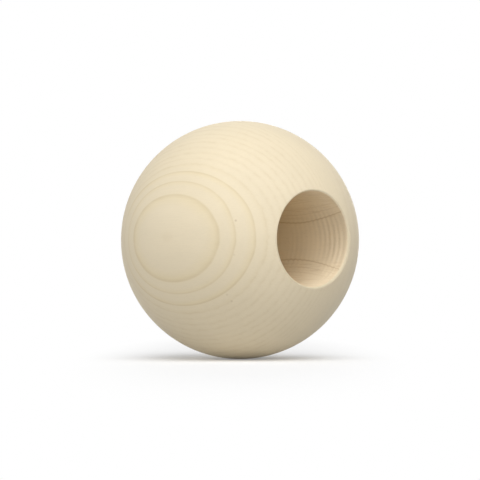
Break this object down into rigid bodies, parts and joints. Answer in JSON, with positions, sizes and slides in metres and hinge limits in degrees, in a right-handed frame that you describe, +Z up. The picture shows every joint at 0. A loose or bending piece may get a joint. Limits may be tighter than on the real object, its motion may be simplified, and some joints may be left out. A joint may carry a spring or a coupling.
{
  "type": "wooden dowel cap",
  "caption": "Pale wooden ball with a blind drilled hole that glues over the end of a dowel as a cap or finial.",
  "frame": {"origin": "middle of the flat floor of the hole, where the end of the dowel seats, which is also the middle of the ball", "axes": "+X along the axis of the hole and out of its mouth, +Z up as the ball lies with its hole level"},
  "size_m": [0.0487, 0.0508, 0.0508],
  "materials": {
    "pale_wood": "sanded, unfinished"
  },
  "bodies": {
    "root": {"turned_ball": "pale_wood"}
  },
  "joints": []
}
